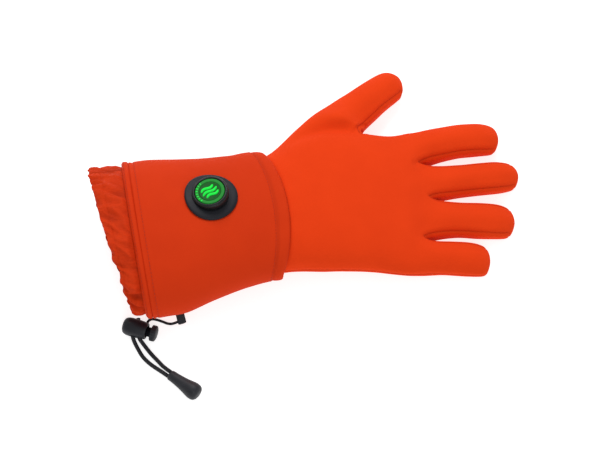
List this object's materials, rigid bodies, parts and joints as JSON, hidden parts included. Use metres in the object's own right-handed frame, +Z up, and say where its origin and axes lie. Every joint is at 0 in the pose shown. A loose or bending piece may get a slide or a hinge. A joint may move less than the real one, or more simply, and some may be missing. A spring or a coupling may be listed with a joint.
{
  "type": "heated glove",
  "caption": "Right-hand heated glove lying palm down, with a padded gauntlet cuff, a round power button and a gathered hem with a drawcord and cord lock.",
  "frame": {"origin": "under the middle of the palm, on the plane that the glove lies on", "axes": "+X from the cuff towards the fingertips, +Y towards the thumb, +Z up through the back of the hand"},
  "size_m": [0.3261, 0.269, 0.065],
  "materials": {
    "hand_fleece": "matt stretch fleece, orange-red",
    "cuff_padding": "matt padded fabric, darker orange-red",
    "hem_nylon": "thin woven nylon, slight sheen",
    "button_rubber": "matt moulded rubber, bluish black",
    "button_plastic": "satin black plastic",
    "button_lens": "lit green lens",
    "lock_plastic": "satin black plastic",
    "cord_braid": "black braided elastic cord",
    "cord_end_rubber": "matt moulded rubber",
    "tab_webbing": "black woven webbing"
  },
  "bodies": {
    "glove": {"back_panel": "hand_fleece", "palm_panel": "hand_fleece", "wrist_sleeve": "hand_fleece", "thumb_back": "hand_fleece", "thumb_palm": "hand_fleece", "fourchette_index_middle": "hand_fleece", "fourchette_middle_ring": "hand_fleece", "fourchette_ring_little": "hand_fleece", "thumb_gusset": "hand_fleece", "cuff": "cuff_padding", "cuff_binding": "cuff_padding", "hem_ruffle": "hem_nylon", "drawcord_casing": "hem_nylon", "button_flange": "button_rubber", "button_cap": "button_plastic", "button_face": "button_lens", "cord_lock_barrel": "lock_plastic", "drawcord_left": "cord_braid", "drawcord_right": "cord_braid", "retaining_cord": "cord_braid", "cord_end": "cord_end_rubber", "retaining_tab": "tab_webbing"},
    "plunger": {"cord_lock_plunger": "lock_plastic"}
  },
  "joints": [
    {"name": "plunger_press", "type": "slide", "parent": "glove", "child": "plunger", "axis": [-0.9563, 0.2924, 0], "range_m": [0, 0.003], "stiffness_N_per_m": 300}
  ]
}
